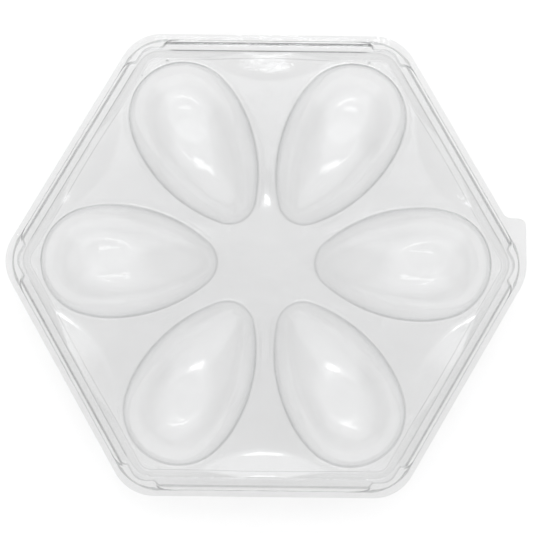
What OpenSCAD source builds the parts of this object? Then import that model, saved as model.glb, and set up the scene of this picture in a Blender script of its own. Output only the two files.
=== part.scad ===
// Clear hexagonal carton for six large eggs that lie point to point around the middle.
// The tray has six half-egg cups in a dished deck, with a flat rim round it. The lid has six
// matching domes, and a skirt that presses down over the edge of the tray's rim and ends in a
// flange with a pull tab.
// Origin: middle of the hexagon, on the surface that the cups stand on. +X points at the tab corner.

/* [Sheet] */
// Thickness of the formed plastic sheet
sheet_t = 0.5; // [0.4:0.05:0.7]
// Gap between the decks of the lid and the tray
nest_gap = 0.3; // [0.2:0.05:0.4]
// Gap between the edge of the tray's rim and the lid's skirt
rim_gap = 0.5; // [0.3:0.05:0.7]

/* [Rim] */
// Distance across the flats of the lid's flange
flange_af = 241; // [239:1:250]
// Corner radius of the lid's flange
flange_r = 23; // [16:1:28]
// Distance across the flats of the skirt, on its press-on stretches
skirt_af = 230.8; // [230:0.2:232]
// Length of each press-on stretch of the skirt
press_len = 106.6; // [90:0.2:110]
// How far the skirt's corners step in from its press-on stretches
skirt_step = 2.8; // [2:0.1:3.4]
// Corner radius of the skirt
skirt_r = 8.4; // [7:0.2:11]
// Height of the skirt, from the flange's underside to the crest
skirt_h = 5.5; // [4:0.5:6]
// Height of the tray's rim above its deck
rim_h = 5; // [4:0.5:6]

/* [Deck] */
// Distance across the flats of the dished deck, at its floor
deck_af = 215.6; // [213:0.2:216]
// Corner radius of the deck at its floor
deck_r = 6.8; // [5:0.2:9]
// Distance across the flats of the inner edge of the rim
crest_af = 220.8; // [219:0.2:222]
// Corner radius of the inner edge of the rim
crest_r = 13.5; // [12:0.5:15]
// Radius of the round foot of each ramp between two cups
ramp_r = 54.5; // [50:0.5:56]
// Distance from the deck's edge to the foot of a ramp
ramp_reach = 10.3; // [9:0.1:11]
// Level run of a ramp from the deck to the height of the rim
ramp_run = 12.4; // [11:0.2:14]

/* [Cups] */
// Length of the mouth of a cup
cup_len = 91; // [88:0.5:92]
// Width of the mouth of a cup
cup_w = 58.6; // [56:0.2:60]
// Distance from the middle of the carton to the pointed end of a cup
cup_start = 25.5; // [25:0.5:28]
// Distance from the blunt end of a cup to its widest place
cup_wide_at = 35.4; // [33:0.2:38]
// Radius of the blunt end of a cup
blunt_r = 28.3; // [27.8:0.1:28.6]
// Radius of the pointed end of a cup
point_r = 13.6; // [12:0.1:15]
// Depth of a cup or a dome inside, down to its flat
cup_depth = 28.2; // [26:0.1:28.4]

/* [Tab] */
// Distance from the corner to the tab's far edge, along Y
tab_rise = 24.8; // [20:0.2:30]
// Radius of the tab's free corner
tab_r = 4.2; // [2:0.2:8]
// Radius of the hollow where the tab meets the flange
tab_fillet = 5; // [3:0.5:8]

/* [Hidden] */
$fn = 96;
slack = 1;
lip = 0.1;
sides = 6;
turn = 360 / sides;
corner_steps = 6;
hex_reach = 1 / cos(turn / 2);
flange_in = flange_af / 2;
skirt_in = skirt_af / 2;
deck_in = deck_af / 2;
crest_in = crest_af / 2;
cup_half_w = cup_w / 2;
blunt_end = cup_start + cup_len;
corner_out = flange_in * hex_reach - flange_r * (hex_reach - 1);
rim_inset = sheet_t + rim_gap;
tray_deck = cup_depth;
cup_mouth = tray_deck + sheet_t;
rim_top = cup_mouth + rim_h;
lid_deck = cup_mouth + nest_gap;
crest_top = rim_top + sheet_t;
flange_z = crest_top - skirt_h;

// Radius of the flank arc that joins an end arc of radius r, dx along the axis from the widest place
function flank_r(r, dx) = (cup_half_w ^ 2 + dx ^ 2 - r ^ 2) / (2 * (cup_half_w - r));

// Place along the axis where a flank arc meets its end arc, for an outline grown by g
function flank_end(r, dx, g) = dx * (flank_r(r, dx) + g) / (flank_r(r, dx) - r);

// Points of a hexagon of inradius a with corner radius r, at height z
function hex_ring(a, r, z) = [
    for (k = [0 : sides - 1], i = [0 : corner_steps])
        let (
            at = k * turn,
            dir = at - turn / 2 + turn * i / corner_steps,
            mid = (a - r) * hex_reach
        )
        [mid * cos(at) + r * cos(dir), mid * sin(at) + r * sin(dir), z]
];

module around() {
    for (k = [0 : sides - 1])
        rotate(k * turn)
            children();
}

module slab(z0, z1) {
    translate([0, 0, z0])
        linear_extrude(z1 - z0)
            children();
}

// Hexagon of inradius a with corner radius r
module rounded_hex(a, r) {
    mid = (a - r) * hex_reach;
    tangents = [
        for (k = [0 : sides - 1], side = [-1, 1])
            let (at = k * turn, dir = at + side * turn / 2)
            [mid * cos(at) + r * cos(dir), mid * sin(at) + r * sin(dir)]
    ];
    polygon(tangents);
    around()
        translate([mid, 0])
            circle(r);
}

// Outline of the skirt, with its corners stepped in, drawn inset from the skirt's outer face
module skirt_outline(inset) {
    inner = skirt_in - skirt_step - inset;
    outer = skirt_in - inset;
    half = press_len / 2 - inset * tan(turn / 2) / 2;
    rounded_hex(inner, skirt_r - inset);
    rotate(turn / 2)
        around()
            polygon([
                [inner - slack, -half - skirt_step],
                [inner, -half - skirt_step],
                [outer, -half],
                [outer, half],
                [inner, half + skirt_step],
                [inner - slack, half + skirt_step]
            ]);
}

// Hexagonal dish h deep that opens upwards from the deck, carried on a little above h
module dish(h) {
    top = h + slack;
    grow = (crest_in - deck_in) * top / h;
    round = (crest_r - deck_r) * top / h;
    ring = sides * (corner_steps + 1);
    low = hex_ring(deck_in, deck_r, 0);
    high = hex_ring(deck_in + grow, deck_r + round, top);
    walls = [for (i = [0 : ring - 1]) [i, i + ring, (i + 1) % ring + ring, (i + 1) % ring]];
    floor_face = [for (i = [0 : ring - 1]) i];
    top_face = [for (i = [ring - 1 : -1 : 0]) i + ring];
    polyhedron(concat(low, high), concat([floor_face, top_face], walls));
}

// Ramps that rise by h from the deck to the rim between neighbouring cups
module ramps(h) {
    under = slack / 2;
    top = h + 2 * slack;
    slope = ramp_run / h;
    rotate(turn / 2)
        around()
            translate([deck_in - ramp_reach + ramp_r, 0, -under])
                cylinder(h = top, r1 = ramp_r + under * slope, r2 = ramp_r - (top - under) * slope);
}

// Space above the deck of a shell whose deck is at deck_z and whose rim is at top_z
module deck_space(deck_z, top_z) {
    translate([0, 0, deck_z])
        difference() {
            dish(top_z - deck_z);
            ramps(top_z - deck_z);
        }
}

// Sheet of one shell without its cups, from its outermost edge at base_z to its rim at top_z.
// The space under the rim is hollow as far out as hollow_inset.
module dished_sheet(base_z, deck_z, top_z, inset, hollow_inset) {
    difference() {
        union() {
            slab(base_z, top_z)
                skirt_outline(inset);
            children();
        }
        deck_space(deck_z + sheet_t, top_z);
        difference() {
            slab(base_z - slack, top_z - sheet_t)
                skirt_outline(hollow_inset);
            deck_space(deck_z, top_z - sheet_t);
        }
        slab(deck_z - slack, deck_z + sheet_t + slack)
            egg_plan(sheet_t / 2);
    }
}

// Stretch of an egg's outline between two places on its axis, bounded by flank arcs of radius r
module flanks(r, g, y0, y1) {
    intersection() {
        translate([cup_half_w - r, cup_wide_at])
            circle(r + g);
        translate([r - cup_half_w, cup_wide_at])
            circle(r + g);
        translate([-cup_w, y0])
            square([2 * cup_w, y1 - y0]);
    }
}

// Outline of an egg grown by g, with its blunt end at the origin and its point up
module egg_outline(g) {
    blunt_dx = blunt_r - cup_wide_at;
    point_dx = cup_len - point_r - cup_wide_at;
    blunt_join = cup_wide_at + flank_end(blunt_r, blunt_dx, g);
    point_join = cup_wide_at + flank_end(point_r, point_dx, g);
    translate([0, blunt_r])
        circle(blunt_r + g);
    flanks(flank_r(blunt_r, blunt_dx), g, blunt_join, cup_wide_at);
    flanks(flank_r(point_r, point_dx), g, cup_wide_at, point_join);
    translate([0, cup_len - point_r])
        circle(point_r + g);
}

// Six egg outlines in plan, point to point around the middle
module egg_plan(g) {
    around()
        translate([blunt_end, 0])
            rotate(90)
                egg_outline(g);
}

// Egg grown by g, with its axis level at axis_z and on +X, cut off below z0 and above z1
module egg_slice(g, axis_z, z0, z1) {
    intersection() {
        translate([blunt_end, 0, axis_z])
            rotate([0, -90, 0])
                rotate_extrude()
                    intersection() {
                        egg_outline(g);
                        translate([0, -slack])
                            square([cup_w, cup_len + 2 * slack]);
                    }
        translate([cup_start - slack, -cup_w / 2 - slack, z0])
            cube([cup_len + 2 * slack, cup_w + 2 * slack, z1 - z0]);
    }
}

// Walls and flats of six cups whose mouths are at mouth_z
module cups(mouth_z) {
    flat = mouth_z - cup_depth;
    around()
        difference() {
            egg_slice(sheet_t, mouth_z, flat - sheet_t, mouth_z - lip);
            egg_slice(0, mouth_z, flat, mouth_z);
        }
}

// Plan outline of the pull tab, as far in as the middle of the flange's rounded corner
module tab_outline() {
    root = (flange_in - tab_rise * sin(turn / 2)) / cos(turn / 2);
    hollow_y = tab_rise + tab_fillet;
    hollow_x = (flange_in + tab_fillet - hollow_y * sin(turn / 2)) / cos(turn / 2);
    inner_x = corner_out - flange_r;
    translate([inner_x, 0])
        square([flange_r - tab_r, tab_rise]);
    translate([inner_x, 0])
        square([flange_r, tab_rise - tab_r]);
    translate([corner_out - tab_r, tab_rise - tab_r])
        circle(tab_r);
    difference() {
        polygon([
            [root, tab_rise],
            [hollow_x, tab_rise],
            [hollow_x, hollow_y],
            [hollow_x - tab_fillet * cos(turn / 2), hollow_y - tab_fillet * sin(turn / 2)]
        ]);
        translate([hollow_x, hollow_y])
            circle(tab_fillet);
    }
}

module tray() {
    color([0.88, 0.89, 0.90, 0.5]) {
        dished_sheet(tray_deck, tray_deck, rim_top, rim_inset, rim_inset - slack);
        cups(cup_mouth);
    }
}

module lid() {
    color([0.93, 0.94, 0.95, 0.4]) {
        dished_sheet(flange_z, lid_deck, crest_top, 0, sheet_t)
            slab(flange_z, flange_z + sheet_t) {
                rounded_hex(flange_in, flange_r);
                tab_outline();
            }
        translate([0, 0, 2 * lid_deck])
            mirror([0, 0, 1])
                cups(lid_deck);
    }
}

tray();
lid();
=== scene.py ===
import math

import bmesh
import bpy
import numpy as np
from mathutils import Matrix, Vector, noise
from mathutils.geometry import delaunay_2d_cdt


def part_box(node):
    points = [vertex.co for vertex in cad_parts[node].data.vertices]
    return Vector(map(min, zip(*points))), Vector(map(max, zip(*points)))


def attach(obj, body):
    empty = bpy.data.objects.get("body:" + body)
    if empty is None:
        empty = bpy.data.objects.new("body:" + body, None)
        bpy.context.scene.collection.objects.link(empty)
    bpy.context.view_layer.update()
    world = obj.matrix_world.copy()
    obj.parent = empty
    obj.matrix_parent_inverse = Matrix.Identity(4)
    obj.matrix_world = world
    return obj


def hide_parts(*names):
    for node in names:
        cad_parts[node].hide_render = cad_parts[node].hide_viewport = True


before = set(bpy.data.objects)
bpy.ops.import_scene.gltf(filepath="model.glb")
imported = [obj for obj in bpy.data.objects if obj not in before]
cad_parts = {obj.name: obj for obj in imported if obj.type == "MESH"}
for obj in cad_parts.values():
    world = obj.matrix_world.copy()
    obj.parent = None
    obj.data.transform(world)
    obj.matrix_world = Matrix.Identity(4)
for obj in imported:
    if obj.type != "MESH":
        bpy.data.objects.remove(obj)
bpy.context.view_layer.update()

# Clear six-egg carton: a tray of half-egg cups and a press-on lid, both drawn as one formed sheet.
# Shapes are worked out in millimetres on the middle of the sheet, then given their thickness.
MM = 0.001

# ---------------------------------------------------------------- dimensions

# The heights and the flange's reach come from the frame. The other sizes are the CAD's own.
lid_low, lid_high = (np.array(c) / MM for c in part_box("lid"))
tray_low, tray_high = (np.array(c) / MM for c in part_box("tray"))

SHEET = 0.5                     # thickness of the CAD sheet
SKIN = 0.44                     # drawn thickness, a little less so that it stays inside the CAD box
HALF = SHEET / 2

FLANGE_IN = lid_high[1]         # inradius of the flange
FLANGE_R = 23.0
CORNER_OUT = lid_high[0]        # reach of the flange's corners and of the tab
DECK_IN, DECK_R = 107.8, 6.8    # foot of the slope round the deck
LINE_INSET = 0.6                # from there in to the fine line of painted shade round the deck
CREST_IN, CREST_R = 110.4, 13.5  # top of the slope
SKIRT_IN, SKIRT_R = 112.6, 8.4  # outer face of the skirt at its corners
PRESS_OUT = 2.8                 # how far the press-on stretches stand out from that
PRESS_HALF = 53.3               # half their length
PINCH = 0.6                     # depth of the skirt's undercut on those stretches
PINCH_DROPS = (1.7, 2.9, 3.9)   # where it starts, is deepest and ends, below the crest
SIDE_PAINTED_SHADE = (0.42, 1.30, 0.44, 0.50, 0.26, 0.38)   # painted shade on each side's skirt wall, darker on the sides where light leaves a dark line, from +30 degrees on
CORNER_PAINTED_SHADE = 0.12              # lighter painted shade on the wall round the corners, which isn't pressed on
PAINTED_SHADE_DEPTH = 2.4                # how far down the skirt that painted shade goes
RIM_GAP = 0.5                   # between the tray's rim and the lid's skirt
FLANGE_RUN, FLANGE_ROUND = 1.9, 1.5               # the flange's last rings: their run, and how it rounds
FLANGE_SHARES = (0.35, 0.7, 1.0)                  # where they lie, as shares of that run

RAMP_R, RAMP_REACH, RAMP_RUN = 54.5, 10.3, 12.4   # a ramp's foot, its place, and its level run
RAMP_FAR = DECK_IN - RAMP_REACH + RAMP_R          # from the middle to the axis of a ramp's cone
FOOT_BLEND, TOP_BLEND = 0.7, 0.35                 # rounds where a ramp meets the deck, and the rim

CUP_LEN, CUP_HALF_W, CUP_START = 91.0, 29.3, 25.5  # a mouth's length, half width and distance
CUP_WIDE_AT, BLUNT_R, POINT_R = 35.4, 28.3, 13.6   # its widest place and its end radii
CUP_DEPTH = 28.2                # from the mouth to the flat
FOOT_ROUND = 0.3                # round at the edge of a cup's flat
FOOT_WAVES = ((0.13, 11.0), (0.05, 4.5))          # unevenness of the flat: heights, and lengths of waves
MOUTH_FILLET, MOUTH_SOFT = 1.0, 0.5               # round of a mouth, and the gentler run into it
MOUTH_SOFT_TURN = 0.52          # how far down the round that run goes, in radians
WEB_AT = 39.2                   # dips of the deck between neighbouring cups
WEB_LONG, WEB_WIDE = 11.0, 4.0  # their half lengths and half widths
WEB_DIPS = (0.25, 1.1, 0.35, 0.2, 0.2, 0.2)       # their depths, from +30 degrees on
SHEET_WAVES = ((0.05, 24.0), (0.02, 7.0))         # unevenness of the whole sheet

TRAY_MOUTH = tray_low[2] + SHEET + CUP_DEPTH      # heights
LID_MOUTH = lid_high[2] - SHEET - CUP_DEPTH
RIM_TOP = tray_high[2]
FLANGE_Z = lid_low[2]

TAB_RISE, TAB_R, TAB_FILLET = 24.8, 4.2, 5.0      # the pull tab's far edge, corner and hollow

TURN = math.radians(60)
TAN30 = math.tan(TURN / 2)
REACH = 1 / math.cos(TURN / 2)
SIDES = [TURN / 2 + side * TURN for side in range(6)]     # directions of the six sides

# ---------------------------------------------------------------- small helpers


def smooth_max(a, b, k):
    """Greater of a and b, with a round of size k where they cross."""
    h = np.maximum(k - np.abs(a - b), 0) / k
    return np.maximum(a, b) + h * h * k / 4


def ease(t):
    """Goes smoothly from 0 to 1 as t does."""
    t = np.clip(t, 0, 1)
    return t * t * (3 - 2 * t)


def ripple(points, pitch, seed):
    """Smooth noise between about -1 and 1 over points, with waves about pitch millimetres long."""
    shift = Vector((17.3 * seed, -9.1 * seed, 5.7 * seed))
    return np.array([noise.noise(Vector(p) / pitch + shift) for p in points])


def rounded_path(points, bends):
    """Rows along a path of points, with each inner corner replaced by a curve.

    A point is (inradius, corner radius, press, height). A bend is (distance from the corner where
    its curve starts, painted shade along the bend). Each row gains its share of that painted shade as a last
    number. A bend with painted shade has more rows.
    """
    def towards(corner, point):
        step = point - corner
        return step / math.hypot(step[0] + step[2], step[3])

    points = [np.array(p, float) for p in points]
    rows = [np.append(points[0], 0.0)]
    for before, corner, after, (cut, dark) in zip(points, points[1:], points[2:], bends):
        into, out = towards(corner, before), towards(corner, after)
        for t in np.linspace(0, 1, 5 if dark else 3):
            row = corner + into * cut * (1 - t) ** 2 + out * cut * t ** 2
            rows.append(np.append(row, dark * 4 * t * (1 - t)))
    rows.append(np.append(points[-1], 0.0))
    return rows


# ---------------------------------------------------------------- plan outlines

# Stations run round the hexagon: side by side along each flat, then round its corner.
FLAT_STATIONS = np.unique(np.concatenate([
    np.linspace(-1, 1, 41),
    np.linspace(0.86, 0.965, 12),
    -np.linspace(0.86, 0.965, 12),
]).round(4))
ARC_STATIONS = np.linspace(0, 1, 14)[1:-1]


def hex_ring(inradius, corner_r, press=0.0):
    """Points round a rounded hexagon, with the middle stretch of each side standing out by press."""
    mid = (inradius - corner_r) * REACH
    half = (inradius - corner_r) * TAN30
    points = []
    for at in SIDES:
        normal = np.array([math.cos(at), math.sin(at)])
        along = np.array([-normal[1], normal[0]])
        corner = mid * np.array([math.cos(at + TURN / 2), math.sin(at + TURN / 2)])
        for u in FLAT_STATIONS:
            out = press * (1 - ease((abs(u * half) - PRESS_HALF) / PRESS_OUT))
            points.append(normal * (inradius + out) + along * u * half)
        for v in ARC_STATIONS:
            turn = at + v * TURN
            points.append(corner + corner_r * np.array([math.cos(turn), math.sin(turn)]))
    return np.array(points)


def skirt_painted_shade():
    """Painted shade on the skirt's wall at each station of a ring: each side's own value, going to the
    corners' value where the skirt isn't pressed on.
    """
    half = (SKIRT_IN - SKIRT_R) * TAN30
    loose = ease((np.abs(FLAT_STATIONS * half) - PRESS_HALF) / PRESS_OUT)
    values = []
    for side_shade in SIDE_PAINTED_SHADE:
        values.extend(side_shade + (CORNER_PAINTED_SHADE - side_shade) * loose)
        values.extend([CORNER_PAINTED_SHADE] * len(ARC_STATIONS))
    return np.array(values)


def flank_r(r, dx):
    """Radius of the flank arc that joins an end arc of radius r, dx along from the widest place."""
    return (CUP_HALF_W ** 2 + dx ** 2 - r ** 2) / (2 * (CUP_HALF_W - r))


BLUNT_DX, POINT_DX = BLUNT_R - CUP_WIDE_AT, CUP_LEN - POINT_R - CUP_WIDE_AT
BLUNT_FLANK, POINT_FLANK = flank_r(BLUNT_R, BLUNT_DX), flank_r(POINT_R, POINT_DX)


def egg_half_outline(count):
    """Points along half an egg's outline, and its outward normals, as (along the axis, across it)."""
    tip = math.atan2(-BLUNT_DX, BLUNT_FLANK - CUP_HALF_W)       # where the blunt arc meets its flank
    nose = math.atan2(POINT_DX, POINT_FLANK - CUP_HALF_W)
    arcs = [
        (np.array([BLUNT_R, 0.0]), BLUNT_R, math.pi, math.pi / 2 + tip),
        (np.array([CUP_WIDE_AT, CUP_HALF_W - BLUNT_FLANK]), BLUNT_FLANK, math.pi / 2 + tip, math.pi / 2),
        (np.array([CUP_WIDE_AT, CUP_HALF_W - POINT_FLANK]), POINT_FLANK, math.pi / 2, math.pi / 2 - nose),
        (np.array([CUP_LEN - POINT_R, 0.0]), POINT_R, math.pi / 2 - nose, 0.0),
    ]
    lengths = np.array([r * (a0 - a1) for _, r, a0, a1 in arcs])
    weights = lengths * np.array([1.0, 1.0, 1.0, 1.7])          # more points round the narrow end
    ends = np.concatenate([[0], np.cumsum(weights)]) / weights.sum()
    points, normals = [], []
    for t in np.linspace(0, 1, count):
        k = min(int(np.searchsorted(ends, t, side="right")) - 1, 3)
        centre, r, a0, a1 = arcs[k]
        turn = a0 + (a1 - a0) * (t - ends[k]) / (ends[k + 1] - ends[k])
        direction = np.array([math.cos(turn), math.sin(turn)])
        points.append(centre + r * direction)
        normals.append(direction)
    return np.array(points), np.array(normals)


def egg_outline(count):
    """Whole outline of an egg and its outward normals, as (along, across)."""
    points, normals = egg_half_outline(count // 2 + 1)
    mirror = np.array([1, -1])
    return (np.vstack([points, points[-2:0:-1] * mirror]),
            np.vstack([normals, normals[-2:0:-1] * mirror]))


def egg_radius(s, grow):
    """Radius of an egg grown by grow, at the place s along its axis."""
    blunt_join = CUP_WIDE_AT + BLUNT_DX * (BLUNT_FLANK + grow) / (BLUNT_FLANK - BLUNT_R)
    point_join = CUP_WIDE_AT + POINT_DX * (POINT_FLANK + grow) / (POINT_FLANK - POINT_R)

    def arc(at, r, sink):
        return np.sqrt(np.maximum((r + grow) ** 2 - (s - at) ** 2, 0)) - sink

    return np.select([s < blunt_join, s < CUP_WIDE_AT, s < point_join], [
        arc(BLUNT_R, BLUNT_R, 0),
        arc(CUP_WIDE_AT, BLUNT_FLANK, BLUNT_FLANK - CUP_HALF_W),
        arc(CUP_WIDE_AT, POINT_FLANK, POINT_FLANK - CUP_HALF_W),
    ], arc(CUP_LEN - POINT_R, POINT_R, 0))


# ---------------------------------------------------------------- one formed sheet

CUP_POINTS = 96
CUP_CENTRE = np.array([CUP_WIDE_AT + 2.0, 0.0])     # where a cup's rings close
MOUTH_TURNS = np.radians([0, 4, 8, 12, 17, 24, 32, 45, 60, 75])
WALL_TURNS = np.concatenate([       # closest together round the edge of the flat
    np.radians([5, 9, 14, 19, 25, 31, 37, 43, 48, 53]),
    np.arccos(np.linspace(0.56, 0.14, 25)),
    np.radians([84, 87]),
])


def cup_rings():
    """Rings of a cup from the deck to its middle: plan points, and their drop where that is known.

    The rings of the mouth's round say how far they lie below the deck. Those of the wall say None.
    """
    outline, normals = egg_outline(CUP_POINTS)
    edge = outline + normals * HALF
    rings = []
    drop, before = 0.0, None
    for turn in MOUTH_TURNS:
        soft = MOUTH_SOFT * max(0, 1 - turn / MOUTH_SOFT_TURN) ** 2
        out = MOUTH_FILLET * (1 - math.sin(turn)) + soft
        if before:
            drop += (before[0] - out) * math.tan((before[1] + turn) / 2)
        rings.append((edge + normals * out, drop))
        before = (out, turn)
    for turn in WALL_TURNS:
        rings.append((CUP_CENTRE + (edge - CUP_CENTRE) * math.cos(turn), None))
    return rings


def cup_wall_depth(plan):
    """Depth of the egg-shaped wall below the mouth at plan points (along, across)."""
    radius = egg_radius(plan[:, 0], HALF)
    return np.sqrt(np.maximum(radius ** 2 - plan[:, 1] ** 2, 0))


def foot_soften(depth, plan, seed):
    """Cuts the wall's depth off at the flat, with a soft and slightly uneven edge."""
    at = np.column_stack([plan, np.zeros(len(plan))])
    (slow, slow_pitch), (fast, fast_pitch) = FOOT_WAVES
    flat = CUP_DEPTH + slow * ripple(at, slow_pitch, seed) + fast * ripple(at, fast_pitch, seed + 2)
    return -smooth_max(-depth, -flat, FOOT_ROUND)


def to_row(plan, side):
    """Places a cup's plan points (along, across) on its corner axis."""
    at = side * TURN
    u = CUP_START + CUP_LEN - plan[:, 0]
    v = plan[:, 1]
    return np.column_stack([u * math.cos(at) - v * math.sin(at), u * math.sin(at) + v * math.cos(at)])


def ramp_height(xy, rise):
    """Height of the ramps between the cups above the deck."""
    best = np.full(len(xy), -rise)
    for at in SIDES:
        away = np.hypot(xy[:, 0] - RAMP_FAR * math.cos(at), xy[:, 1] - RAMP_FAR * math.sin(at))
        best = np.maximum(best, rise * (RAMP_R - away) / RAMP_RUN)
    return best


def web_dip(xy):
    """Depth of the shallow dips where the sheet was drawn down between neighbouring cups."""
    dip = np.zeros(len(xy))
    for at, depth in zip(SIDES, WEB_DIPS):
        along = xy[:, 0] * math.cos(at) + xy[:, 1] * math.sin(at) - WEB_AT
        across = xy[:, 1] * math.cos(at) - xy[:, 0] * math.sin(at)
        length = np.clip(1 - (along / WEB_LONG) ** 2, 0, 1) ** 2
        dip += depth * length * np.clip(1 - (across / WEB_WIDE) ** 4, 0, 1)
    return dip


DECK_PITCH, DIP_PITCH = 3.4, 1.2    # spacing of points on the level deck, and in a dip
DECK_ROWS = range(-36, 37)
RAMP_ROWS = (56.6, 55.4, 54.5, 53.6, 52.4, 51.0, 49.4, 47.6, 46.3)   # radii of rows along a ramp
RAMP_TURN, RAMP_PITCH = 0.72, 2.3   # half the angle that they span, and the spacing of their points
RAMP_CLEAR = 0.22                   # how far the grid keeps from them, as a share of a ramp's rise
LOOP_GAP = 1.0                      # least distance from a loop's edge to a point
BULGE = 0.01                        # makes the deck's outer loop convex while its triangles are found


def deck_points(outer, holes):
    """Plan points inside the deck: a coarse grid, a finer one in each dip, and arcs along the ramps."""
    grid = np.array([
        ((i + 0.5 * (j % 2)) * DECK_PITCH, j * DECK_PITCH * math.sqrt(3) / 2)
        for j in DECK_ROWS for i in DECK_ROWS
    ])
    grid = grid[(ramp_height(grid, 1.0) < -RAMP_CLEAR) & (web_dip(grid) == 0)]
    extra = []
    for at in SIDES:
        for along in np.arange(WEB_AT - WEB_LONG, WEB_AT + WEB_LONG, DIP_PITCH):
            for across in np.arange(-WEB_WIDE, WEB_WIDE + 0.1, DIP_PITCH):
                extra.append((along * math.cos(at) - across * math.sin(at),
                              along * math.sin(at) + across * math.cos(at)))
        for r in RAMP_ROWS:
            for turn in np.arange(-RAMP_TURN, RAMP_TURN + 0.001, RAMP_PITCH / r):
                back = at + math.pi + turn
                extra.append((RAMP_FAR * math.cos(at) + r * math.cos(back),
                              RAMP_FAR * math.sin(at) + r * math.sin(back)))
    inner = np.vstack([grid, extra])
    keep = inside(inner, outer)
    for hole in holes:
        keep &= ~inside(inner, hole)
    inner = inner[keep]
    clear = np.min([loop_distance(inner, loop) for loop in [outer] + holes], axis=0)
    return inner[clear > LOOP_GAP]


def loop_distance(points, loop):
    """Distance from points to a closed loop's edges."""
    best = np.full(len(points), np.inf)
    for start, end in zip(loop, np.roll(loop, -1, axis=0)):
        run = end - start
        t = np.clip((points - start) @ run / (run @ run), 0, 1)
        best = np.minimum(best, np.hypot(*(points - start - t[:, None] * run).T))
    return best


def inside(points, loop):
    """Which points lie inside a closed loop."""
    x, y = points[:, 0], points[:, 1]
    hit = np.zeros(len(points), bool)
    for (x0, y0), (x1, y1) in zip(loop, np.roll(loop, -1, axis=0)):
        cross = (y0 > y) != (y1 > y)
        if cross.any():
            at = x0 + (y[cross] - y0) * (x1 - x0) / (y1 - y0)
            hit[cross] ^= x[cross] < at
    return hit


def fill_deck(outer, holes):
    """Triangles between the outer loop and the holes. Indices count the loops' points first."""
    inner = deck_points(outer, holes)
    reach = np.hypot(outer[:, 0], outer[:, 1])
    bulge = outer * (1 + BULGE * (reach.max() - reach) / reach)[:, None]
    points = [Vector(p) for p in bulge]
    edges = []
    for hole in holes:
        first = len(points)
        points.extend(Vector(p) for p in hole)
        edges.extend((first + i, first + (i + 1) % len(hole)) for i in range(len(hole)))
    points.extend(Vector(p) for p in inner)
    _, _, faces, origin, _, _ = delaunay_2d_cdt(points, edges, [], 0, 1e-5)
    plan = np.array(points)
    faces = np.array([[origin[i][0] for i in f] for f in faces])
    a, b, c = (plan[faces[:, i]] for i in range(3))
    middles = (a + b + c) / 3
    keep = np.ones(len(faces), bool)
    for hole in holes:
        keep &= ~inside(middles, hole)
    return inner, faces[keep].tolist()


FLANGE_DRAWN, RIM_DRAWN = -1.0, -0.35       # how far the sheet is drawn out there: 0 deck, 1 cup's foot
FLANGE_BELOW = 0.3                          # rows lower than this under the deck are the flange's
DECK_MARKS = 0.35                           # how closely marks run outside the cups


class Shell:
    """Collects a sheet's middle surface, and what its material needs to know at each point."""

    def __init__(self):
        self.points, self.faces = [], []
        # each point also keeps the painted shade of the bend or wall it lies on
        self.drawn, self.bend, self.marks = [], [], []

    def add(self, points, drawn=0.0, bend=0.0, marks=None):
        """Adds points, with how far they are drawn out, their painted shade, and where marks run. Returns
        indices.
        """
        first = len(self.points)
        self.points.extend(points)
        self.drawn.extend(np.broadcast_to(drawn, len(points)))
        self.bend.extend(np.broadcast_to(bend, len(points)))
        self.marks.extend(np.asarray(points) * DECK_MARKS if marks is None else marks)
        return list(range(first, len(self.points)))

    def plan(self, ids):
        """Plan places of the points with these indices."""
        return np.array([self.points[i][:2] for i in ids])

    def band(self, ring_a, ring_b):
        """Joins two rings of the same length with quads."""
        next_a, next_b = ring_a[1:] + ring_a[:1], ring_b[1:] + ring_b[:1]
        self.faces.extend(list(face) for face in zip(ring_a, next_a, next_b, ring_b))


def rim_rows(kind):
    """Rows from the deck's edge outwards: (inradius, corner radius, press, height, painted shade)."""
    if kind == "tray":
        low, high = TRAY_MOUTH - HALF, RIM_TOP - HALF
    else:
        low, high = LID_MOUTH + HALF, RIM_TOP + HALF
    path = [
        (DECK_IN - 2 * LINE_INSET, DECK_R, 0, low),
        (DECK_IN - LINE_INSET, DECK_R, 0, low),
        (DECK_IN, DECK_R, 0, low),
        ((DECK_IN + CREST_IN) / 2, (DECK_R + CREST_R) / 2, 0, (low + high) / 2),
        (CREST_IN, CREST_R, 0, high),
    ]
    # each bend: where its curve starts, and its painted shade; the first is a painted dark line on a
    # straight run
    bends = [(0.35, 0.09), (0.2, 0), (0.8, 0), (0.8, 0.02)]
    if kind == "tray":
        inset = SHEET + RIM_GAP
        return rounded_path(path + [(SKIRT_IN - inset, SKIRT_R - inset, PRESS_OUT, high)], bends)
    wall = (SKIRT_IN - HALF, SKIRT_R - HALF)
    flange = FLANGE_Z + HALF
    start, deepest, end = (high - drop for drop in PINCH_DROPS)
    path += [
        (*wall, PRESS_OUT, high),
        (*wall, PRESS_OUT, start),
        (*wall, PRESS_OUT - PINCH, deepest),
        (*wall, PRESS_OUT, end),
        (*wall, PRESS_OUT, flange),
        (SKIRT_IN + 1.6, SKIRT_R + 1.6, PRESS_OUT, flange),
        (SKIRT_IN + 3.6, FLANGE_R - 4, PRESS_OUT * 0.4, flange),
    ]
    # painted shade along the skirt's top and foot bends
    bends += [(0.5, 0.08), (0.4, 0), (0.5, 0), (0.4, 0), (0.5, 0.03), (0.6, 0)]
    return rounded_path(path, bends)


TAB_JOIN = 14.0         # how far up the side the flange's edge points still make room for the tab


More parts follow.
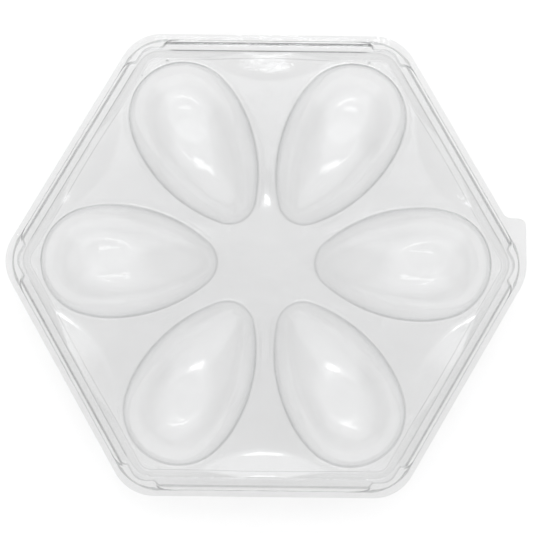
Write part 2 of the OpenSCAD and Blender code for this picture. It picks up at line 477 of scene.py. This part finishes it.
def tab_edge(ring):
    """Moves the flange's edge points near the +X corner out to the tab's outline."""
    hollow_y = TAB_RISE + TAB_FILLET
    hollow_x = (FLANGE_IN + TAB_FILLET - hollow_y * 0.5) / math.cos(TURN / 2)
    path = [(CORNER_OUT, 0.0)]
    for y in np.linspace(3, TAB_RISE - TAB_R, 8):
        path.append((CORNER_OUT, y))
    for turn in np.linspace(0, math.pi / 2, 8)[1:]:
        path.append((CORNER_OUT - TAB_R + TAB_R * math.cos(turn), TAB_RISE - TAB_R + TAB_R * math.sin(turn)))
    for turn in np.linspace(-math.pi / 2, -math.pi + TURN / 2, 7):
        path.append((hollow_x + TAB_FILLET * math.cos(turn), hollow_y + TAB_FILLET * math.sin(turn)))
    end_x, end_y = path[-1]
    # the tab takes over the edge from the corner's middle to a place further up the side
    angles = np.arctan2(ring[:, 1], ring[:, 0])
    reach = math.atan2(end_y + TAB_JOIN, end_x - TAB_JOIN * TAN30)
    picked = np.where((angles > -1e-6) & (angles < reach))[0]
    picked = picked[np.argsort(angles[picked])]
    path = np.array(path + [ring[picked[-1]]])
    run = np.concatenate([[0], np.cumsum(np.hypot(*np.diff(path, axis=0).T))])
    at = np.linspace(0, run[-1], len(picked))
    ring = ring.copy()
    ring[picked] = np.column_stack([np.interp(at, run, path[:, 0]), np.interp(at, run, path[:, 1])])
    return ring


CUP_SEED_STEP = 3.1                                 # gives each cup an unevenness of its own
MARK_ALONG, MARK_ACROSS, MARK_STEP = 0.08, 0.8, 9.0  # marks are drawn out along a cup, and differ in each


def rim_drawn(z, deck_z):
    """How far the sheet is drawn out at the height z of a rim's row."""
    if z > RIM_TOP - SHEET:
        return RIM_DRAWN
    if z < deck_z - FLANGE_BELOW:
        return FLANGE_DRAWN
    return 0.0


def add_rim(shell, kind, deck_z, rise):
    """Adds the slope, rim, skirt and flange to a shell, and returns the ring at the deck's edge."""
    rings = []
    for inradius, corner_r, press, z, bend in rim_rows(kind):
        # the skirt's wall takes its side's painted shade
        if inradius > CREST_IN and RIM_TOP - PAINTED_SHADE_DEPTH < z < RIM_TOP - HALF:
            bend = np.maximum(bend, skirt_painted_shade())
        plan = hex_ring(inradius, corner_r, press)
        height = np.full(len(plan), z - deck_z)
        if inradius <= CREST_IN and press == 0:
            height = smooth_max(height, ramp_height(plan, rise), FOOT_BLEND)
            height = -smooth_max(-height, np.full(len(plan), -rise), TOP_BLEND)
        rings.append(shell.add(np.column_stack([plan, height + deck_z]), rim_drawn(z, deck_z), bend))
    if kind == "lid":
        plain = hex_ring(FLANGE_IN, FLANGE_R)
        with_tab = tab_edge(plain)
        for share in FLANGE_SHARES:
            left = 1 - share
            plan = hex_ring(FLANGE_IN - FLANGE_RUN * left, FLANGE_R - FLANGE_ROUND * left)
            plan = plan + (with_tab - plain) * share
            flat = np.full(len(plan), FLANGE_Z + HALF)
            rings.append(shell.add(np.column_stack([plan, flat]), FLANGE_DRAWN))
    for a, b in zip(rings, rings[1:]):
        shell.band(a, b)
    return rings[0]


def add_cup(shell, side, mouth, up, seed):
    """Adds one cup, or one dome where up is -1, and returns the ring at its mouth."""
    seed = seed + side * CUP_SEED_STEP
    deck_z = mouth - up * HALF
    cup = []
    for plan, drop in cup_rings():
        if drop is None:
            z = mouth - up * foot_soften(cup_wall_depth(plan), plan, seed)
        else:
            z = np.full(len(plan), deck_z - up * drop)
        marks = np.column_stack([
            plan[:, 0] * MARK_ALONG,
            plan[:, 1] * MARK_ACROSS,
            np.full(len(plan), MARK_STEP * side),
        ])
        points = np.column_stack([to_row(plan, side), z])
        cup.append(shell.add(points, np.abs(z - deck_z) / CUP_DEPTH, marks=marks))
    for a, b in zip(cup, cup[1:]):
        shell.band(b, a)
    middle = CUP_CENTRE[None]
    depth = foot_soften(cup_wall_depth(middle), middle, seed)
    hub = shell.add(
        np.column_stack([to_row(middle, side), mouth - up * depth]),
        1.0,
        marks=[(CUP_CENTRE[0] * MARK_ALONG, 0.0, MARK_STEP * side)],
    )[0]
    last = cup[-1]
    for a, b in zip(last, last[1:] + last[:1]):
        shell.faces.append([a, b, hub])
    return cup[0]


def build_shell(kind, seed):
    """Middle surface of the tray or the lid. Cups hang down from the tray and stand up on the lid."""
    up = 1 if kind == "tray" else -1
    mouth = TRAY_MOUTH if kind == "tray" else LID_MOUTH
    deck_z = mouth - up * HALF
    rise = max(row[3] for row in rim_rows(kind)) - deck_z
    shell = Shell()
    outer = add_rim(shell, kind, deck_z, rise)
    loops = [add_cup(shell, side, mouth, up, seed) for side in range(6)]
    inner, triangles = fill_deck(shell.plan(outer), [shell.plan(loop) for loop in loops])
    height = smooth_max(np.zeros(len(inner)), ramp_height(inner, rise), FOOT_BLEND) - web_dip(inner)
    known = outer + [i for loop in loops for i in loop]
    known += shell.add(np.column_stack([inner, height + deck_z]))
    shell.faces.extend([known[i] for i in t] for t in triangles)
    return shell


SHARP = math.radians(52)        # bends tighter than this between two faces show as an edge
QUIET_RUN = 10                  # the sheet's waves fade out over this distance from the flange's edge


def facing_up(shell):
    """A shell's faces, turned to one side of the sheet, and the sheet's normal at each point."""
    mesh = bpy.data.meshes.new("middle_surface")
    mesh.from_pydata([tuple(p) for p in shell.points], [], shell.faces)
    mesh.update()
    bm = bmesh.new()
    bm.from_mesh(mesh)
    bmesh.ops.recalc_face_normals(bm, faces=bm.faces)
    centre = max(bm.faces, key=lambda f: -abs(f.calc_center_median().x) - abs(f.calc_center_median().y))
    if centre.normal.z < 0:
        for f in bm.faces:
            f.normal_flip()
    bm.normal_update()
    bm.verts.ensure_lookup_table()
    normals = np.array([v.normal for v in bm.verts])
    faces = [[v.index for v in f.verts] for f in bm.faces]
    bm.free()
    bpy.data.meshes.remove(mesh)
    return faces, normals


def thick_mesh(name, shell, seed):
    """Closed mesh of a shell: its middle surface pushed both ways, joined along the trimmed edge."""
    faces, normals = facing_up(shell)
    points = np.array(shell.points)
    out = np.max([points[:, 0] * math.cos(at) + points[:, 1] * math.sin(at) for at in SIDES], axis=0)
    quiet = np.clip((FLANGE_IN - out) / QUIET_RUN, 0, 1)
    (slow, slow_pitch), (fast, fast_pitch) = SHEET_WAVES
    wave = slow * ripple(points, slow_pitch, seed) + fast * ripple(points, fast_pitch, seed + 1)
    points = points + normals * (wave * quiet)[:, None]

    count = len(points)
    both = np.vstack([points + normals * SKIN / 2, points - normals * SKIN / 2]) * MM
    runs = [(a, b) for f in faces for a, b in zip(f, f[1:] + f[:1])]
    known = set(runs)
    solid = faces + [[i + count for i in reversed(f)] for f in faces]
    solid += [[b, a, a + count, b + count] for a, b in runs if (b, a) not in known]

    mesh = bpy.data.meshes.new(name)
    mesh.from_pydata([tuple(p) for p in both], [], solid)
    mesh.update()
    # the painted shade goes to the material as an attribute
    for label, values in (("drawn", shell.drawn), ("bend", shell.bend)):
        layer = mesh.attributes.new(label, "FLOAT", "POINT")
        layer.data.foreach_set("value", np.tile(np.array(values, np.float32), 2))
    marks = mesh.attributes.new("marks", "FLOAT_VECTOR", "POINT")
    marks.data.foreach_set("vector", np.tile(np.array(shell.marks, float).ravel(), 2).astype(np.float32))
    mesh.polygons.foreach_set("use_smooth", [True] * len(mesh.polygons))
    mesh.set_sharp_from_angle(angle=SHARP)
    piece = bpy.data.objects.new(name, mesh)
    bpy.context.scene.collection.objects.link(piece)
    return piece


# ---------------------------------------------------------------- materials

CLEAR = 0.9545         # share of light that one face of the deck lets through, seen square on
MIRROR = 0.05          # share that it mirrors
GRAZE_MIRROR = 0.35    # more of it towards grazing
EDGE_DARK = 0.42       # light lost in a face seen edge on
PAINTED_SHADE_LOSS = 0.5        # painted shade: light taken out where the shade attribute is 1, along bends, the fine line round the deck and the skirt's wall
FLANGE_HAZE = 0.048    # how much less clear the unstretched flange is than the deck
WALL_CLEAR = 0.018     # how much clearer the stretched walls of the cups are
FOOT_CLEAR = 0.014     # and their feet
CLOUD = 0.004          # unevenness of the sheet's clearness
CLOUD_SCALE = 38       # scales of the noise behind it, and below, in waves to a metre
ROUGH = 0.04           # roughness where the sheet is smoothest, and how many times that where it is dull
DULLER = 2.2
DULL_SCALE = 60
BUMP = 0.5             # strength of the sheet's waves in its reflections
BUMP_HEIGHT = 0.0007
WAVE_SCALE = 80
MARK_SHARE = 0.4       # share of the marks drawn out along the cups in those waves


def clear_sheet(name, seed):
    """Clear formed plastic: a mirror that grows towards grazing over a see-through body, darkened by painted
    shade along bends and on the skirt's wall.
    """
    mat = bpy.data.materials.new(name)
    mat.use_nodes = True
    nt = mat.node_tree
    nt.nodes.clear()

    def node(kind, **values):
        n = nt.nodes.new(kind)
        for key, value in values.items():
            setattr(n, key, value)
        return n

    def feed(socket, value):
        if isinstance(value, (int, float)):
            socket.default_value = value
        else:
            nt.links.new(value, socket)

    def calc(operation, a, b):
        n = node("ShaderNodeMath", operation=operation)
        feed(n.inputs[0], a)
        feed(n.inputs[1], b)
        return n.outputs[0]

    def remap(value, low, high, to_low, to_high, smooth=False):
        n = node("ShaderNodeMapRange", interpolation_type="SMOOTHSTEP" if smooth else "LINEAR")
        feed(n.inputs["Value"], value)
        for socket, number in zip(list(n.inputs)[1:5], (low, high, to_low, to_high)):
            socket.default_value = number
        return n.outputs["Result"]

    def waves(where, scale, detail):
        n = node("ShaderNodeTexNoise")
        n.inputs["Scale"].default_value = scale
        n.inputs["Detail"].default_value = detail
        nt.links.new(where, n.inputs["Vector"])
        return n.outputs["Fac"]

    def attribute(label):
        return node("ShaderNodeAttribute", attribute_name=label)

    place = node("ShaderNodeTexCoord")
    shift = node("ShaderNodeMapping")
    shift.inputs["Location"].default_value = (seed * 0.37, seed * 0.21, seed * 0.13)
    nt.links.new(place.outputs["Object"], shift.inputs["Vector"])
    where = shift.outputs["Vector"]
    along = node("ShaderNodeMapping")
    along.inputs["Location"].default_value = (seed * 3.1, seed * 1.7, seed)
    nt.links.new(attribute("marks").outputs["Vector"], along.inputs["Vector"])

    # slow waves of the sheet, and finer marks drawn out along each cup
    lines = calc("MULTIPLY", waves(along.outputs["Vector"], 0.8, 1.0), MARK_SHARE)
    ripples = calc("ADD", waves(where, WAVE_SCALE, 1.0), lines)
    bump = node("ShaderNodeBump")
    bump.inputs["Strength"].default_value = BUMP
    bump.inputs["Distance"].default_value = BUMP_HEIGHT
    nt.links.new(ripples, bump.inputs["Height"])

    facing = node("ShaderNodeLayerWeight")
    facing.inputs["Blend"].default_value = 0.5
    angle = facing.outputs["Facing"]
    mirror = calc("ADD", calc("MULTIPLY", calc("POWER", angle, 5.0), GRAZE_MIRROR), MIRROR)

    drawn_out = attribute("drawn").outputs["Fac"]
    flange = remap(drawn_out, -1.0, 0.0, CLEAR - FLANGE_HAZE, CLEAR)
    wall = remap(drawn_out, 0.05, 0.6, 0.0, WALL_CLEAR)
    foot = remap(drawn_out, 0.90, 1.0, 0.0, FOOT_CLEAR, smooth=True)
    clearness = calc("ADD", flange, calc("ADD", wall, foot))
    cloud = remap(waves(where, CLOUD_SCALE, 3.0), 0.3, 0.7, -CLOUD, CLOUD)
    edge = calc("SUBTRACT", 1.0, calc("MULTIPLY", calc("POWER", angle, 9.0), EDGE_DARK))
    # painted shade from the attribute: darker along bends, the fine line round the deck and the skirt's wall
    bend = calc("SUBTRACT", 1.0, calc("MULTIPLY", attribute("bend").outputs["Fac"], PAINTED_SHADE_LOSS))
    passed = calc("MULTIPLY", calc("MULTIPLY", calc("ADD", clearness, cloud), edge), bend)
    grey = node("ShaderNodeCombineColor")
    for channel in grey.inputs[:3]:
        nt.links.new(passed, channel)

    clear = node("ShaderNodeBsdfTransparent")
    nt.links.new(grey.outputs["Color"], clear.inputs["Color"])
    gloss = node("ShaderNodeBsdfGlossy")
    gloss.inputs["Color"].default_value = (0.95, 0.96, 0.97, 1)
    dull = remap(waves(where, DULL_SCALE, 4.0), 0.35, 0.75, ROUGH, ROUGH * DULLER)
    nt.links.new(dull, gloss.inputs["Roughness"])
    nt.links.new(bump.outputs["Normal"], gloss.inputs["Normal"])
    mix = node("ShaderNodeMixShader")
    nt.links.new(mirror, mix.inputs["Fac"])
    nt.links.new(clear.outputs[0], mix.inputs[1])
    nt.links.new(gloss.outputs[0], mix.inputs[2])
    out = node("ShaderNodeOutputMaterial")
    nt.links.new(mix.outputs[0], out.inputs["Surface"])
    return mat


def floor_material():
    """Plain matt white for the floor."""
    mat = bpy.data.materials.new("pale_floor")
    mat.use_nodes = True
    shader = mat.node_tree.nodes["Principled BSDF"]
    shader.inputs["Base Color"].default_value = (0.97, 0.97, 0.97, 1)
    shader.inputs["Roughness"].default_value = 0.9
    shader.inputs["Specular IOR Level"].default_value = 0.1
    return mat


# ---------------------------------------------------------------- the carton

for kind, seed in (("tray", 3), ("lid", 8)):
    shell = build_shell(kind, seed)
    piece = thick_mesh("clear_" + kind, shell, seed)
    piece.data.materials.append(clear_sheet("clear_" + kind + "_plastic", seed))
    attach(piece, kind)
    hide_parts(kind)

# ---------------------------------------------------------------- floor, light and camera

FLOOR_HALF = 20         # metres, so that its edge stays out of low views

scene = bpy.context.scene
floor_mesh = bpy.data.meshes.new("floor")
floor_corners = [(x * FLOOR_HALF, y * FLOOR_HALF, 0) for x, y in ((-1, -1), (1, -1), (1, 1), (-1, 1))]
floor_mesh.from_pydata(floor_corners, [], [(0, 1, 2, 3)])
floor = bpy.data.objects.new("floor", floor_mesh)
floor.data.materials.append(floor_material())
scene.collection.objects.link(floor)

WORLD_HIGH, WORLD_LOW = 0.96, 0.725     # brightness overhead, and towards the horizon
WORLD_NORTH, NORTH_BOW = 0.64, 1.1      # what is added towards +Y, and how fast that falls off to each side

world = bpy.data.worlds.new("studio")
world.use_nodes = True
sky = world.node_tree
place = sky.nodes.new("ShaderNodeTexCoord")
split = sky.nodes.new("ShaderNodeSeparateXYZ")
sky.nodes["Background"].inputs["Color"].default_value = (1, 1, 1, 1)
sky.links.new(place.outputs["Generated"], split.inputs["Vector"])


def world_math(operation, *values):
    """Result of a Math node over numbers and other nodes' outputs."""
    maths = sky.nodes.new("ShaderNodeMath")
    maths.operation = operation
    for socket, value in zip(maths.inputs, values):
        if isinstance(value, float):
            socket.default_value = value
        else:
            sky.links.new(value, socket)
    return maths.outputs["Value"]


def world_ramp(value, low, high, to_low, to_high):
    """Brightness that goes smoothly from to_low to to_high as value goes from low to high."""
    ramp = sky.nodes.new("ShaderNodeMapRange")
    ramp.interpolation_type = "SMOOTHSTEP"
    for label, number in (("From Min", low), ("From Max", high), ("To Min", to_low), ("To Max", to_high)):
        ramp.inputs[label].default_value = number
    sky.links.new(value, ramp.inputs["Value"])
    return ramp.outputs["Result"]


to_side = world_math("MULTIPLY", split.outputs["X"], split.outputs["X"])
to_north = world_math("MULTIPLY_ADD", to_side, -NORTH_BOW, split.outputs["Y"])
total = world_math(
    "ADD",
    world_ramp(split.outputs["Z"], 0.1, 0.85, WORLD_LOW, WORLD_HIGH),
    world_ramp(to_north, -0.1, 0.32, 0.0, WORLD_NORTH),
)
sky.links.new(total, sky.nodes["Background"].inputs["Strength"])
scene.world = world


LIGHT_DISTANCE = 3.0
NORTH, SOUTH = math.pi / 2, -math.pi / 2


def strip_light(name, zenith, azimuth, size, radiance):
    """Softbox over the carton, zenith degrees from straight up, turned towards the middle."""
    zenith = math.radians(zenith)
    data = bpy.data.lights.new(name, "AREA")
    data.shape = "RECTANGLE"
    data.size, data.size_y = size
    data.energy = radiance * math.pi * size[0] * size[1]
    lamp = bpy.data.objects.new(name, data)
    away = Vector((
        math.sin(zenith) * math.cos(azimuth),
        math.sin(zenith) * math.sin(azimuth),
        math.cos(zenith),
    ))
    lamp.location = away * LIGHT_DISTANCE
    lamp.rotation_euler = away.to_track_quat("Z", "Y").to_euler()
    scene.collection.objects.link(lamp)


strip_light("north_strip_high", 21, NORTH, (0.66, 0.10), 5.0)
strip_light("north_strip_low", 26, NORTH, (0.76, 0.15), 5.5)
strip_light("south_softbox", 31, SOUTH, (1.26, 0.36), 2.3)

CAMERA_DISTANCE = 0.66
CAMERA_TILT = math.radians(4.47)
ROLL = math.radians(0.65)
AIM_X, AIM_Y = 0.0003, -0.00186  # what the middle of the frame shows, at the height of the flange
VIEW_WIDTH = 277.5 * MM         # how much of that plane the frame spans
camera_data = bpy.data.cameras.new("camera")
camera_data.sensor_width = 36
camera_data.lens = camera_data.sensor_width * CAMERA_DISTANCE / VIEW_WIDTH
camera = bpy.data.objects.new("camera", camera_data)
aim = Vector((AIM_X, AIM_Y, FLANGE_Z * MM))
camera.location = aim + Vector((0, -math.sin(CAMERA_TILT), math.cos(CAMERA_TILT))) * CAMERA_DISTANCE
camera.rotation_euler = (Matrix.Rotation(CAMERA_TILT, 3, "X") @ Matrix.Rotation(ROLL, 3, "Z")).to_euler()
scene.collection.objects.link(camera)
scene.camera = camera

scene.view_settings.view_transform = "Standard"
scene.cycles.transparent_max_bounces = 64
